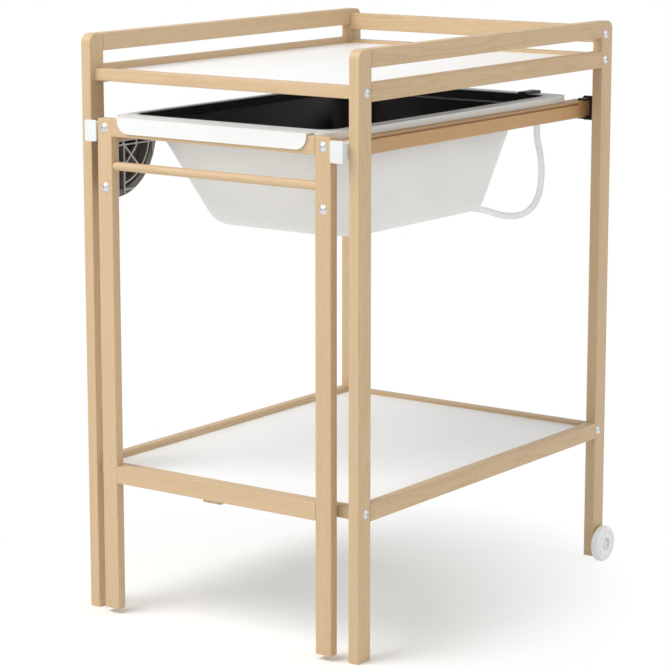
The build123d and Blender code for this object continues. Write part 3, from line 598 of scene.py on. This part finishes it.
def outline_points(outlines, arc_steps=11, side_steps=10):
    """A grid of points, one closed row for each outline: quarter circles joined by straight sides.

    A quarter circle's points are its centre plus the radius times the cosine and sine of their turns."""
    half, front, rear, corner, height = outlines.T
    turns = np.radians(np.linspace(0, 90, arc_steps) + 90 * np.arange(4)[:, None])
    side_x, side_y = np.array([1, -1, -1, 1]), np.array([1, 1, -1, -1])
    centre_x = side_x * (half - corner)[:, None]
    centre_y = np.where(side_y > 0, (rear - corner)[:, None], (front + corner)[:, None])
    arc_x = centre_x[:, :, None] + corner[:, None, None] * np.cos(turns)
    arc_y = centre_y[:, :, None] + corner[:, None, None] * np.sin(turns)
    arcs = np.stack([arc_x, arc_y, np.broadcast_to(height[:, None, None], arc_x.shape)], axis=3)
    start, end = arcs[:, :, -1:], np.roll(arcs, -1, axis=1)[:, :, :1]
    sides = start + np.linspace(0, 1, side_steps)[1:-1, None] * (end - start)
    ring = np.concatenate([arcs, sides], axis=2).reshape(len(outlines), -1, 3)
    return np.concatenate([ring, ring[:, :1]], axis=1)


class TABLE_OT_basin(bpy.types.Operator):
    """Fit the basin's outer wall, with its wide floor and softly rounded edge, over the shell"""

    bl_idname = "table.basin"
    bl_label = "Basin wall"

    def execute(self, context):
        tub = context.scene.table_tub
        mouth = outline(tub.mouth_width, tub.mouth_front, tub.mouth_rear, tub.mouth_corner, tub.mouth_height)
        floor = outline(tub.floor_width, tub.floor_front, tub.floor_rear, tub.floor_corner, tub.floor_height)
        points = outline_points(basin_outlines(mouth, floor, tub.edge_bend)) + np.array(table_middle)
        mesh = grid_mesh("basin_wall", points)
        close_seams(mesh)
        mesh.shade_smooth()
        piece = add_object(context, "basin_wall", mesh)
        wall = piece.modifiers.new("wall", "SOLIDIFY")
        wall.thickness = tub.wall
        wall.offset = -1
        paint(piece, nodes["bathtub_shell"].material_slots[0].material)
        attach(piece, "bathtub")
        return {"FINISHED"}


class TABLE_OT_fittings(bpy.types.Operator):
    """Finish the guides, wheels, brace, drain parts, bolts and screws"""

    bl_idname = "table.fittings"
    bl_label = "Fittings"

    def execute(self, context):
        fittings = context.scene.table_fittings
        plain = fittings.roughness
        materials = {
            "white_plastic": moulded("white_plastic", fittings.white, plain, shade=0.96),
            "grey_plastic": ribbed("leg_brace", fittings),
            "black_plastic": moulded("black_plastic", fittings.black, plain, shade=0.9, grain_height=0.00008),
            "zinc_steel": zinc_plate(fittings),
        }
        for finish, material in materials.items():
            for name in nodes_with(finish):
                paint(nodes[name], material)
        # Painted light: the wheels get their own paler, lit copy of the white plastic.
        lit_wheel_white = moulded("lit_wheel_white", fittings.wheel, fittings.wheel_roughness, shade=0.96)
        for name in ("wheel_left", "wheel_right"):
            paint(nodes[name], lit_wheel_white)
        return {"FINISHED"}


hose_route = [
    (0.020, 0.1910, 0.6515),
    (0.032, 0.2168, 0.6515),
    (0.054, 0.2560, 0.6570),
    (0.080, 0.2900, 0.6520),
    (0.112, 0.3220, 0.6360),
    (0.142, 0.3450, 0.6410),
    (0.158, 0.3595, 0.6690),
    (0.161, 0.3655, 0.7080),
    (0.157, 0.3685, 0.7460),
    (0.146, 0.3690, 0.7820),
    (0.146, 0.3690, 0.8140),
]


class TABLE_OT_hose(bpy.types.Operator):
    """Lay the drain hose from the drain to its hook on the rear rim"""

    bl_idname = "table.hose"
    bl_label = "Drain hose"

    def execute(self, context):
        hose = context.scene.table_hose
        points = [Vector(point) + table_middle for point in hose_route]
        curve = bpy.data.curves.new("drain_hose_line", "CURVE")
        curve.dimensions = "3D"
        curve.bevel_depth = hose.diameter / 2
        curve.bevel_resolution = 6
        curve.resolution_u = 16
        spline = curve.splines.new("NURBS")
        spline.points.add(len(points) - 1)
        for slot, point in zip(spline.points, points):
            slot.co = (*point, 1)
        spline.order_u = 3
        spline.use_endpoint_u = True
        piece = add_object(context, "vinyl_hose", curve)
        paint(piece, vinyl(hose))
        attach(piece, "bathtub")
        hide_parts("drain_hose")
        return {"FINISHED"}


class TABLE_OT_studio(bpy.types.Operator):
    """Set up the pale floor, the soft lamps, the even sky and the camera"""

    bl_idname = "table.studio"
    bl_label = "Studio"

    def execute(self, context):
        studio = context.scene.table_studio
        self.add_floor(context, studio)
        self.add_sky(context, studio)
        self.add_lamp(context, "key_lamp", studio.key_place, studio.key_size, studio.key)
        self.add_lamp(context, "fill_lamp", studio.fill_place, studio.fill_size, studio.fill)
        self.add_camera(context, studio)
        context.scene.view_settings.view_transform = "Standard"
        return {"FINISHED"}

    def add_floor(self, context, studio):
        """A flat floor that keeps the table's shadow in an oval patch and is plain white round it."""
        sides = np.linspace(-studio.floor_reach, studio.floor_reach, 3)
        across, along = np.meshgrid(sides, sides)
        mesh = grid_mesh("floor", np.stack([across, along, np.zeros_like(across)], axis=2))
        floor = add_object(context, "floor", mesh)
        shader = new_material("floor_paint")
        cloud = shader.noise(shader.place(), scale=0.6)
        colour = shader.mix(cloud, studio.floor, shaded(studio.floor, 0.985))
        lit = shader.node("ShaderNodeBsdfDiffuse", {}, {"Color": colour}).outputs["BSDF"]
        from_middle = shader.place(shift=tuple(-part for part in studio.shadow_middle))
        away = shader.length(shader.stretched(from_middle, (1, studio.shadow_squeeze, 0)))
        share = shader.clamped(away, studio.shadow_start, studio.shadow_end)
        paint(floor, fade_to_white(shader, lit, share))

    def add_sky(self, context, studio):
        """Even light from all round, which the camera and glass see as plain white."""
        world = bpy.data.worlds.new("studio_sky")
        shader = Shader(world)
        path = shader.node("ShaderNodeLightPath").outputs
        seen = shader.maths("MAXIMUM", path["Is Camera Ray"], path["Is Transmission Ray"])
        strength = shader.node("ShaderNodeMix", {}, {"Factor": seen, "A": studio.sky, "B": 1.0})
        sockets = {"Color": (1, 1, 1, 1), "Strength": strength.outputs["Result"]}
        background = shader.node("ShaderNodeBackground", {}, sockets)
        context.scene.world = shader.end("ShaderNodeOutputWorld", background.outputs["Background"])

    def add_lamp(self, context, name, place, size, power):
        lamp = bpy.data.lights.new(name, "AREA")
        lamp.shape = "DISK"
        lamp.size = size
        lamp.energy = power
        holder = add_object(context, name, lamp)
        aim = (context.scene.table_studio.lamp_aim - place).to_track_quat("-Z", "Y")
        holder.matrix_world = Matrix.Translation(place) @ aim.to_matrix().to_4x4()

    def add_camera(self, context, studio):
        target = studio.target + table_middle
        level = studio.distance * math.cos(studio.elevation)
        away = Vector((
            level * math.sin(studio.azimuth),
            -level * math.cos(studio.azimuth),
            studio.distance * math.sin(studio.elevation),
        ))
        lens = bpy.data.cameras.new("camera")
        lens.lens = studio.lens
        camera = add_object(context, "camera", lens)
        turn = (-away).to_track_quat("-Z", "Y")
        camera.matrix_world = Matrix.Translation(target + away) @ turn.to_matrix().to_4x4()
        context.scene.camera = camera


operators = [
    TABLE_OT_wood,
    TABLE_OT_boards,
    TABLE_OT_tub,
    TABLE_OT_basin,
    TABLE_OT_fittings,
    TABLE_OT_hose,
    TABLE_OT_studio,
]


class TABLE_PT_panel(bpy.types.Panel):
    """Sizes, colours and steps of the changing table"""

    bl_label = "Changing table"
    bl_idname = "TABLE_PT_panel"
    bl_space_type = "VIEW_3D"
    bl_region_type = "UI"
    bl_category = "Changing table"

    def draw(self, context):
        for name in settings_groups:
            box = self.layout.box()
            group = getattr(context.scene, name)
            for setting in group.bl_rna.properties:
                if not setting.is_readonly and setting.identifier != "name":
                    box.prop(group, setting.identifier)
        for operator in operators:
            self.layout.operator(operator.bl_idname)


classes = [*settings_groups.values(), *operators, TABLE_PT_panel]


def register():
    for item in classes:
        bpy.utils.register_class(item)
    for name, group in settings_groups.items():
        setattr(bpy.types.Scene, name, PointerProperty(type=group))


def unregister():
    for name in settings_groups:
        delattr(bpy.types.Scene, name)
    for item in reversed(classes):
        bpy.utils.unregister_class(item)


def main():
    register()
    bpy.ops.table.wood()
    bpy.ops.table.boards()
    bpy.ops.table.tub()
    bpy.ops.table.basin()
    bpy.ops.table.fittings()
    bpy.ops.table.hose()
    bpy.ops.table.studio()


if __name__ == "__main__":
    main()
